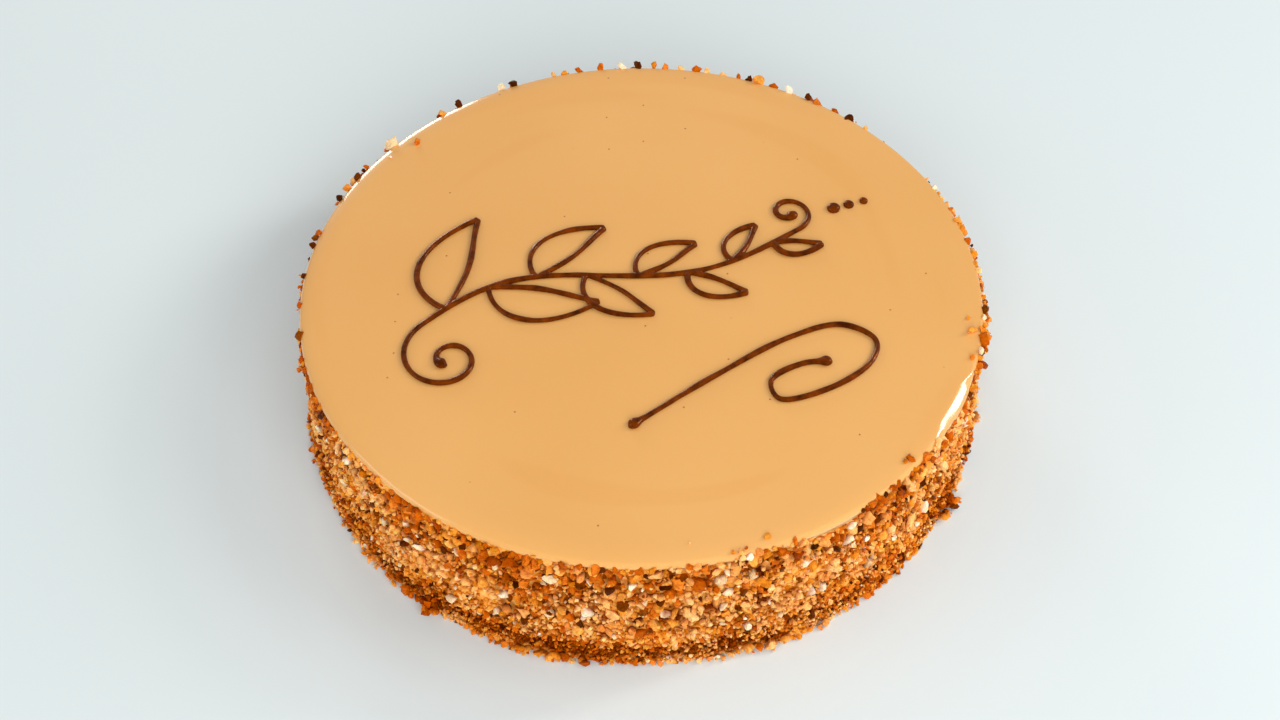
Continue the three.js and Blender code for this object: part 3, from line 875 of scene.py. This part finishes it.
def chopped(corners, count, random):
    # each chip is a ball cut flat by a few planes, then stretched and turned at random
    blank, faces = chipBlank(corners)
    chips = np.repeat(blank[None], count, axis=0)
    for _ in range(chipShapes["cuts"]):
        facing = random.standard_normal((count, 3))
        facing /= np.linalg.norm(facing, axis=1, keepdims=True)
        depth = random.uniform(*chipShapes["cutDepth"], (count, 1))
        over = np.maximum(np.einsum("ncx,nx->nc", chips, facing) - depth, 0)
        chips -= over[..., None] * facing[:, None]
    chips *= random.uniform(*chipShapes["stretch"], (count, 1, 3))
    chips *= 1 + chipShapes["roughness"] * random.standard_normal((count, corners, 1))
    turns = np.linalg.qr(random.standard_normal((count, 3, 3)))[0]
    turns *= np.sign(np.linalg.det(turns))[:, None, None]
    return np.einsum("nij,ncj->nci", turns, chips), faces


def nutPiece(name, places, shades, envelope, material, random):
    # places: middle x, y, z and size of each nut
    large, middling = chipShapes["sizes"]
    sizes = places[:, 3]
    groups = (sizes >= large, (sizes < large) & (sizes >= middling), sizes < middling)
    allPoints, allFaces, allShades = [], [], []
    start = 0
    for corners, chosen in zip(chipShapes["corners"], groups):
        count = int(chosen.sum())
        if count == 0:
            continue
        chips, faces = chopped(corners, count, random)
        points = chips * sizes[chosen, None, None] / 2 + places[chosen, None, :3]
        points[..., 2] = np.maximum(points[..., 2], 0)
        allPoints.append(points.reshape(-1, 3))
        allFaces.append((faces[None] + corners * np.arange(count)[:, None, None]).reshape(-1, 3) + start)
        allShades.append(np.repeat(shades[chosen], corners))
        start += count * corners
    points = np.vstack(allPoints)
    # depth: how deep each point lies in the coat, turned into painted shade by the material
    values = {"shade": np.concatenate(allShades), "depth": depthOf(points, envelope)}
    return newPiece(name, points, np.vstack(allFaces).tolist(), material, "cake",
                    sharpAngle=chipShapes["sharpAngle"], values=values)


def pickKinds(angle, height, size):
    # lighter and darker patches, darker under the rim and lighter half way up
    field = lumps(nutRandom, coatGrid["columns"], coatGrid["rows"] + 1, patchLook["width"] / cellAcross)
    column = np.round(angle / fullTurn * coatGrid["columns"]).astype(int) % coatGrid["columns"]
    row = np.clip(np.round(height / cellUp).astype(int), 0, coatGrid["rows"])
    up = height / icingTop
    inRim = np.clip((up - patchLook["rimFrom"]) / (1 - patchLook["rimFrom"]), 0, 1)
    patch = field[column, row] - patchLook["rimDarker"] * inRim
    fromMiddle = (up - patchLook["middle"]) / patchLook["middleWidth"]
    patch += patchLook["middleLighter"] * np.exp(-(fromMiddle ** 2))
    # darker nuts in the groove, partly painted shade
    patch -= patchLook["grooveDarkNutsAndShade"] * seamDepth(angle, height) / cakeSide["seamDepth"]
    # painted light: lighter nuts on the side the window light falls on
    patch += patchLook["paintedLightOnSide"] * np.cos(angle - math.radians(patchLook["paintedLightTowards"]))
    sizeClass = (size < chipShapes["sizes"][0]).astype(int) + (size < chipShapes["sizes"][1])
    weights = np.stack([np.array(look["shares"])[sizeClass] * np.exp(look["patch"] * patch)
                        for look in nutKinds.values()], axis=1)
    isStriking = np.array([kind in ("dark", "pale") for kind in nutKinds])
    behindFrom, behindTo = patchLook["behind"]
    isBehind = (np.degrees(angle) - behindFrom) % 360 < behindTo - behindFrom
    weights[np.ix_(isBehind, isStriking)] *= patchLook["behindMore"]
    reached = np.cumsum(weights, axis=1) / weights.sum(axis=1, keepdims=True)
    return (nutRandom.random((len(angle), 1)) > reached).sum(axis=1)


def coatedCake():
    bareHeights = standOut.copy()
    fillRim()
    fillSide()
    fillCoat()
    fillCrumbs()
    envelope = coatEnvelope()
    coreCake(bareHeights, envelope, creamMaterial())
    angle, height, out, size = (np.array(nuts[key]) for key in ("angle", "height", "out", "size"))
    radius = sideRadius(angle, height) + out
    places = np.stack([radius * np.cos(angle), radius * np.sin(angle), height, size], axis=1)
    kinds = np.array(nuts["kind"])
    kinds = np.where(kinds < 0, pickKinds(angle, height, size), kinds)
    shades = np.clip(nutRandom.normal(*patchLook["shades"], len(places)), 0, 1)
    for i, (kind, look) in enumerate(nutKinds.items()):
        material = nutMaterial(kind + "Nut", look["tones"], look["roughness"])
        nutPiece(kind + "Nuts", places[kinds == i], shades[kinds == i], envelope, material, nutRandom)


# The icing: a smooth disc with a rounded edge

icingLook = {
    "columns": 400,
    "topRings": 90,
    "edgeRound": 1.2,
    "edgeSteps": 14,
    # where the edge hangs over in a wide glossy shoulder: from and to in degrees, how softly it starts,
    # its length down the slope, the steps it is drawn in, and its slope at these shares of the way
    "shoulder": {"from": 327, "to": 339.5, "soft": 4, "length": 3.6, "steps": 400,
                 "shares": (0, 0.15, 0.85, 1), "slopes": (0, 27, 37, 88)},
    # faint marks of the spatula near the rim: how long and how wide, from where on, how many
    "sweep": {"length": 45, "width": 5, "from": 60, "fade": 15, "threshold": 0.6},
    "ripple": 0.03,
    "rippleWidth": 14,
    "rippleFades": (20, 8),  # how far from the middle and from the edge it fades out
    "edgeWobble": 0.12,
    "wobbleWidth": 12,
    "wobbleFrom": 0.9,      # as a share of the radius
    "underEdge": 0.8,       # how far in the icing's lower side turns
    "overlap": 0.3,         # how far the icing's side comes down over the cake's top
    "bareOverlap": 1.0,     # and how much further where no nuts cover it
    "seed": 5,
}


def roundEdge(shares):
    # inward from the rim and down from the top, along the usual round edge
    turns = math.pi / 2 * shares
    return icingLook["edgeRound"] * (1 - np.sin(turns)), icingLook["edgeRound"] * (1 - np.cos(turns))


def shoulderEdge(shares):
    # the same along the wide shoulder
    shoulder = icingLook["shoulder"]
    fine = np.linspace(0, 1, shoulder["steps"])
    slopes = np.radians(np.interp(fine, shoulder["shares"], shoulder["slopes"]))
    outward = np.cumsum(np.cos(slopes)) / len(fine) * shoulder["length"]
    down = np.cumsum(np.sin(slopes)) / len(fine) * shoulder["length"]
    return outward[-1] - np.interp(shares, fine, outward), np.interp(shares, fine, down)


def shoulderShare(angles):
    shoulder = icingLook["shoulder"]
    degrees = np.degrees(angles)
    inside = np.minimum(degrees - shoulder["from"], shoulder["to"] - degrees)
    share = np.clip(0.5 + inside / shoulder["soft"], 0, 1)
    return share * share * (3 - 2 * share)


def sweepMarks(random, radii):
    sweep = icingLook["sweep"]
    rows, columns = radii.shape
    cellLength = fullTurn * icingRadius / columns
    cellWidth = icingRadius / icingLook["topRings"]
    across = np.fft.fftfreq(columns)[None, :] * sweep["length"] / cellLength
    along = np.fft.fftfreq(rows)[:, None] * sweep["width"] / cellWidth
    field = np.real(np.fft.ifft2(np.fft.fft2(random.standard_normal((rows, columns)))
                                 * np.exp(-(math.pi**2) / 2 * (across**2 + along**2))))
    marks = np.clip(field / field.std() - sweep["threshold"], 0, 1)
    return marks * np.clip((radii - sweep["from"]) / sweep["fade"], 0, 1)


def coffeeIcing(material):
    random = np.random.default_rng(icingLook["seed"])
    columns = icingLook["columns"]
    angles = fullTurn * np.arange(columns) / columns
    wide = shoulderShare(angles)
    shares = np.linspace(0, 1, icingLook["edgeSteps"] + 1)[:, None]
    inward, down = ((1 - wide) * usual + wide * broad
                    for usual, broad in zip(roundEdge(shares), shoulderEdge(shares)))
    topShares = (np.arange(icingLook["topRings"]) + 1) / (icingLook["topRings"] + 1)
    radii = np.vstack([topShares[:, None] * (icingRadius - inward[0]), icingRadius - inward,
                       np.full(columns, icingRadius),
                       np.full(columns, icingRadius - icingLook["underEdge"])])
    low = icingBottom - icingLook["overlap"] - icingLook["bareOverlap"] * bareShare(angles, icingBottom)
    heights = np.vstack([np.full((icingLook["topRings"], columns), icingTop), icingTop - down, low, low])
    heights[:-2] -= edgeSag(angles, radii[:-2]) * (1 - wide)
    marks = sweepMarks(random, radii)
    ripple = icingLook["ripple"] * lumps(random, columns, len(radii), icingLook["rippleWidth"])
    wobble = icingLook["edgeWobble"] * lumps(random, columns, 8, icingLook["wobbleWidth"])[:, 0]
    calm = icingLook["wobbleFrom"] * icingRadius
    nearEdge = np.clip((radii - calm) / (icingRadius - calm), 0, 1)
    nearMiddle, nearRim = icingLook["rippleFades"]
    heights += ripple.T * np.clip(radii / nearMiddle, 0, 1) * np.clip((icingRadius - radii) / nearRim, 0, 1)
    radii = radii + nearEdge * wobble
    rings = np.stack([radii * np.cos(angles), radii * np.sin(angles), heights], axis=-1)
    points, faces = turnedShape(rings)
    sweep = np.append(marks.ravel(), [0, 0])
    return newPiece("coffeeIcing", points, faces, material, "coffee_icing",
                    values={"sweep": sweep})


# The piped lines

pipedLine = {
    "width": 1.75,
    "height": 1.5,
    "sides": 14,
    "step": 0.5,
    "fewestSteps": 8,
    "drawnSteps": 600,      # in which a curve is measured before it is divided evenly
    "blobWidth": 3.7,
    "blobHeight": 2.1,
    "unevenness": 0.07,
    "heightUneven": 0.6,    # how much of that its height shows
    "lumpLength": 5,
    "blobSharpness": 1.1,
    "tipWidth": 0.02,       # how wide the very end stays, as a share of the line's width
    "endHeight": 0.4,       # how high the round ends start, as a share of the line's height
    "sunk": 0.12,           # how deep the line lies in the icing
    "middleUp": 0.43,       # where its middle lies and how far it reaches from there, of its height
    "reachUp": 0.57,
    "flatBelow": 0.75,      # how much flatter it is below
    "voxel": 0.24,
    "softening": 3,
    "keepFaces": 0.5,
    "seed": 31,
}
pipingRandom = np.random.default_rng(pipedLine["seed"])


def evenly(pointAt, step):
    # points along a drawn curve, this far apart
    fine = np.array([pointAt(t) for t in np.linspace(0, 1, pipedLine["drawnSteps"])])
    along = np.concatenate([[0], np.cumsum(np.linalg.norm(np.diff(fine, axis=0), axis=1))])
    wanted = np.linspace(0, along[-1], max(int(along[-1] / step), pipedLine["fewestSteps"]))
    return np.stack([np.interp(wanted, along, fine[:, i]) for i in range(2)], axis=1), wanted


def pipedTube(pointAt, blobStart=False, blobEnd=False):
    # one squeezed line of chocolate lying on the icing
    path, along = evenly(pointAt, pipedLine["step"])
    heading = np.gradient(path, axis=0)
    heading /= np.linalg.norm(heading, axis=1, keepdims=True)
    across = np.stack([-heading[:, 1], heading[:, 0]], axis=1)
    uneven = lumps(pipingRandom, len(path), 8, pipedLine["lumpLength"])[:, 0] * pipedLine["unevenness"]
    width = pipedLine["width"] * (1 + uneven)
    height = pipedLine["height"] * (1 + pipedLine["heightUneven"] * uneven)
    blobReach = pipedLine["blobWidth"] / 2
    length = along[-1]
    for hasBlob, distance in ((blobStart, along), (blobEnd, length - along)):
        if hasBlob:
            swell = np.exp(-(((distance - blobReach) / blobReach) ** 2) * pipedLine["blobSharpness"])
            width = width + (pipedLine["blobWidth"] - width) * swell
            height = height + (pipedLine["blobHeight"] - height) * swell
    # both ends close in a round nose
    for distance in (along, length - along):
        nose = np.clip(distance / (width / 2), 0, 1)
        closing = np.sqrt(np.maximum(1 - (1 - nose) ** 2, pipedLine["tipWidth"] ** 2))
        width = width * closing
        height = height * (pipedLine["endHeight"] + (1 - pipedLine["endHeight"]) * closing)
    turns = fullTurn * (np.arange(pipedLine["sides"]) + 0.5) / pipedLine["sides"]
    side = np.cos(turns)
    up = np.where(np.sin(turns) > 0, np.sin(turns), pipedLine["flatBelow"] * np.sin(turns))
    middle = icingTop - pipedLine["sunk"] + pipedLine["middleUp"] * height
    rings = np.zeros((len(path), len(turns), 3))
    rings[..., :2] = path[:, None] + across[:, None] * (side[None, :, None] * width[:, None, None] / 2)
    rings[..., 2] = middle[:, None] + up[None, :] * height[:, None] * pipedLine["reachUp"]
    return turnedShape(rings)


def meltedTogether(name, tubes, material, node):
    # joins crossing lines into one skin, as soft chocolate flows together
    points, faces = [], []
    for tubePoints, tubeFaces in tubes:
        faces += [[i + len(points) for i in face] for face in tubeFaces]
        points += tubePoints.tolist()
    piece = newPiece(name, points, faces, material, node)
    remesh = piece.modifiers.new("oneSkin", "REMESH")
    remesh.mode = "VOXEL"
    remesh.voxel_size = pipedLine["voxel"] * mm
    smooth = piece.modifiers.new("soften", "SMOOTH")
    smooth.iterations = pipedLine["softening"]
    thin = piece.modifiers.new("fewerFaces", "DECIMATE")
    thin.ratio = pipedLine["keepFaces"]
    solid = bpy.data.meshes.new_from_object(piece.evaluated_get(bpy.context.evaluated_depsgraph_get()))
    solid.shade_smooth()
    piece.modifiers.clear()
    piece.data = solid
    print(f"{name}: one skin of {len(solid.polygons)} faces")
    return piece


# The leafy sprig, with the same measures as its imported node

sprigShape = {
    "middle": (-8, 4),
    "tilt": 20,
    "length": 118,
    "stemOver": 0.01,       # how far the stem's line goes on into both curls
    "wave": 9,
    "calming": 0.4,
    "headCurl": {"reach": 15.5, "shrink": 0.16, "turns": 1.4},
    "tailCurl": {"reach": 8, "shrink": 0.22, "turns": 1.2},
    "leaves": 8,
    "firstLeaf": 38,
    "leafRatio": 0.875,
    "leafFatness": 0.2,
    "leavesFrom": 0.07,
    "leavesTo": 0.92,
    "leafSpread": 68,
    "leafBend": 0.55,
    "leafFullness": 0.85,
}


def onCake(point):
    tilt = math.radians(sprigShape["tilt"])
    x = sprigShape["middle"][0] + point[0] * math.cos(tilt) - point[1] * math.sin(tilt)
    y = sprigShape["middle"][1] + point[0] * math.sin(tilt) + point[1] * math.cos(tilt)
    return x, y


def stemPoint(t):
    wave = sprigShape["wave"] * math.sin(fullTurn * t) * (1 - sprigShape["calming"] * t)
    return sprigShape["length"] * (t - 0.5), wave


def stemHeading(t):
    nearby = 1e-3
    before, after = stemPoint(t - nearby), stemPoint(t + nearby)
    return math.atan2(after[1] - before[1], after[0] - before[0])


def curlPoint(start, heading, curl, t):
    # a spiral that leaves start in this heading and winds in
    sweep = curl["turns"] * fullTurn
    fromPole = heading - math.atan2(sweep, math.log(curl["shrink"]))
    angle = fromPole + sweep * t
    radius = curl["reach"] * curl["shrink"] ** t
    return (start[0] - curl["reach"] * math.cos(fromPole) + radius * math.cos(angle),
            start[1] - curl["reach"] * math.sin(fromPole) + radius * math.sin(angle))


def leafEdge(index, edge, t):
    onStem = sprigShape["leavesFrom"] + (sprigShape["leavesTo"] - sprigShape["leavesFrom"]) * (
        index / (sprigShape["leaves"] - 1))
    side = 1 if index % 2 == 0 else -1
    length = sprigShape["firstLeaf"] * sprigShape["leafRatio"] ** index
    root = stemPoint(onStem)
    heading = stemHeading(onStem) + side * math.radians(sprigShape["leafSpread"])
    along = length * t
    across = edge * sprigShape["leafFatness"] * length * math.sin(math.pi * t ** sprigShape["leafFullness"])
    bent = heading - side * sprigShape["leafBend"] * t
    return (root[0] + along * math.cos(bent) - across * math.sin(bent),
            root[1] + along * math.sin(bent) + across * math.cos(bent))


def pipedSprig(material):
    head, tail = sprigShape["headCurl"], sprigShape["tailCurl"]
    over = sprigShape["stemOver"]
    tubes = [
        pipedTube(lambda t: onCake(stemPoint(t * (1 + 2 * over) - over))),
        pipedTube(lambda t: onCake(curlPoint(stemPoint(0), stemHeading(0) + math.pi, head, t)), blobEnd=True),
        pipedTube(lambda t: onCake(curlPoint(stemPoint(1), stemHeading(1), tail, t)), blobEnd=True),
    ]
    for i in range(sprigShape["leaves"]):
        for edge in (1, -1):
            tubes.append(pipedTube(lambda t: onCake(leafEdge(i, edge, t))))
    return meltedTogether("pipedSprig", tubes, material, "piped_sprig")


# The swash under it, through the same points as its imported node

swashPoints = [
    (-3.3, -54), (20, -35.6), (43.2, -19.7), (57.8, -14.9), (67.3, -20.5), (65.6, -29),
    (53.1, -39.2), (38.9, -43.2), (36.8, -36.5), (46, -30), (54.6, -29),
]


def throughPoints(points, t):
    # a smooth curve through all points, with the knots spaced by the root of their distance
    points = [np.array(p, float) for p in points]
    points = [2 * points[0] - points[1], *points, 2 * points[-1] - points[-2]]
    place = t * (len(points) - 3)
    i = min(int(place), len(points) - 4)
    share = place - i
    p = points[i:i + 4]
    gaps = [math.sqrt(max(np.linalg.norm(p[j + 1] - p[j]), 1e-6)) for j in range(3)]
    before = (p[1] - p[0]) / gaps[0] - (p[2] - p[0]) / (gaps[0] + gaps[1]) + (p[2] - p[1]) / gaps[1]
    after = (p[2] - p[1]) / gaps[1] - (p[3] - p[1]) / (gaps[1] + gaps[2]) + (p[3] - p[2]) / gaps[2]
    before, after = before * gaps[1], after * gaps[1]
    return (p[1] + before * share + (3 * (p[2] - p[1]) - 2 * before - after) * share**2
            + (2 * (p[1] - p[2]) + before + after) * share**3)


def pipedSwash(material):
    tube = pipedTube(lambda t: throughPoints(swashPoints, t), blobStart=True, blobEnd=True)
    return meltedTogether("pipedSwash", [tube], material, "piped_swash")


# The three drops past the sprig's tip

dropShape = {
    "columns": 28,
    "rings": 9,
    "peak": 0.1,
    "tuckedIn": 0.35,       # how far round below its widest ring it starts, in radians
    "oval": 0.03,
    "sunk": 0.3,            # how much of the ball lies under the icing's top
    "deepest": -0.05,
}


def chocolateDrop(index, material):
    node = f"piped_drop_{index}"
    low, high = (np.array(corner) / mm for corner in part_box(node))
    middle = (low + high) / 2
    radius = (high[0] - low[0]) / 2
    height = high[2] - icingTop
    angles = fullTurn * np.arange(dropShape["columns"]) / dropShape["columns"]
    rings = []
    for i in range(dropShape["rings"]):
        turn = math.pi / 2 * (i / dropShape["rings"]) - dropShape["tuckedIn"]
        out = radius * math.cos(turn) * (1 + dropShape["oval"] * np.sin(2 * angles + index))
        lift = max(math.sin(turn) + dropShape["sunk"], dropShape["deepest"]) / (1 + dropShape["sunk"])
        up = icingTop + height * lift
        rings.append(np.stack([middle[0] + out * np.cos(angles), middle[1] + out * np.sin(angles),
                               np.full_like(angles, up)], axis=-1))
    points, faces = turnedShape(np.array(rings))
    points[-1, 2] += dropShape["peak"]
    return newPiece(f"pipedDrop{index}", points, faces, material, node)


# Camera at the photograph's angle

cameraPlace = {
    "distance": 0.5902,
    "elevation": 46.48,
    "aimHeight": 0.0435,
    "pan": -0.03,
    "tilt": -1.99,
    "roll": 0.44,
    "lens": 56.25,          # this and the sensor's width are millimetres
    "sensor": 36,
}


def turned(first, second, degrees):
    angle = math.radians(degrees)
    return (first * math.cos(angle) + second * math.sin(angle),
            second * math.cos(angle) - first * math.sin(angle))


def placeCamera():
    rise = math.radians(cameraPlace["elevation"])
    back = Vector((0, -math.cos(rise), math.sin(rise)))
    look, right = -back, Vector((1, 0, 0))
    up = right.cross(look)
    look, right = turned(look, right, cameraPlace["pan"])
    look, up = turned(look, up, cameraPlace["tilt"])
    right, up = turned(right, up, cameraPlace["roll"])
    data = bpy.data.cameras.new("camera")
    data.lens = cameraPlace["lens"]
    data.sensor_width = cameraPlace["sensor"]
    camera = bpy.data.objects.new("camera", data)
    columns = Matrix((right, up, -look)).transposed()
    camera.matrix_world = Matrix.Translation(
        Vector((0, 0, cameraPlace["aimHeight"])) + back * cameraPlace["distance"]) @ columns.to_4x4()
    bpy.context.scene.collection.objects.link(camera)
    bpy.context.scene.camera = camera


# Floor and light

studio = {
    "floorColour": (219, 228, 228),
    "floorRadius": 6,
    "floorRoughness": 0.6,
    "skyColour": (250, 252, 255),
    "skyStrength": 0.41,
    # where each soft light hangs in metres, its width and height, its power and colour
    "window": {"from": (1.08, 0.33, 0.65), "size": (0.16, 0.5), "power": 4.4, "colour": (1, 0.99, 0.97)},
    "rightSoft": {"from": (0.95, -0.1, 0.9), "size": (0.5, 0.5), "power": 3.4, "colour": (1, 0.99, 0.97)},
    "backWindow": {"from": (-0.46, 1.1, 0.32), "size": (0.35, 0.3), "power": 3, "colour": (1, 0.98, 0.94)},
    "frontSoft": {"from": (0.2, -1.15, 0.75), "size": (1.3, 0.8), "power": 15.1, "colour": (1, 1, 1)},
    "leftSoft": {"from": (-1.15, -0.4, 0.5), "size": (0.7, 0.5), "power": 2.4, "colour": (1, 0.99, 0.97)},
    "noGlint": ("rightSoft", "frontSoft"),       # these light the cake but don't shine in its gloss
}


def layFloor():
    material, _, shader = newMaterial("paleFloor", studio["floorRoughness"])
    shader.inputs["Base Color"].default_value = linear(studio["floorColour"])
    radius = studio["floorRadius"]
    mesh = bpy.data.meshes.new("floor")
    corners = [(-radius, -radius, 0), (radius, -radius, 0), (radius, radius, 0), (-radius, radius, 0)]
    mesh.from_pydata(corners, [], [(0, 1, 2, 3)])
    mesh.materials.append(material)
    floor = bpy.data.objects.new("floor", mesh)
    bpy.context.scene.collection.objects.link(floor)


def hangLight(name, plan):
    data = bpy.data.lights.new(name, "AREA")
    data.shape = "RECTANGLE"
    data.size, data.size_y = plan["size"]
    data.energy = plan["power"]
    data.color = plan["colour"]
    light = bpy.data.objects.new(name, data)
    light.location = plan["from"]
    light.rotation_euler = (-Vector(plan["from"])).to_track_quat("-Z", "Y").to_euler()
    light.visible_camera = False
    light.visible_glossy = name not in studio["noGlint"]
    bpy.context.scene.collection.objects.link(light)


def lightScene():
    world = bpy.data.worlds.new("studio")
    world.use_nodes = True
    sky = world.node_tree.nodes["Background"]
    sky.inputs["Color"].default_value = linear(studio["skyColour"])
    sky.inputs["Strength"].default_value = studio["skyStrength"]
    bpy.context.scene.world = world
    for name in ("window", "rightSoft", "backWindow", "frontSoft", "leftSoft"):
        hangLight(name, studio[name])
    bpy.context.scene.view_settings.view_transform = "Standard"


placeCamera()
layFloor()
lightScene()
print("camera, floor and light ready")

coatedCake()
coffeeIcing(icingMaterial())
chocolate = chocolateMaterial()
pipedSprig(chocolate)
pipedSwash(chocolate)
for i in range(1, 4):
    chocolateDrop(i, chocolate)
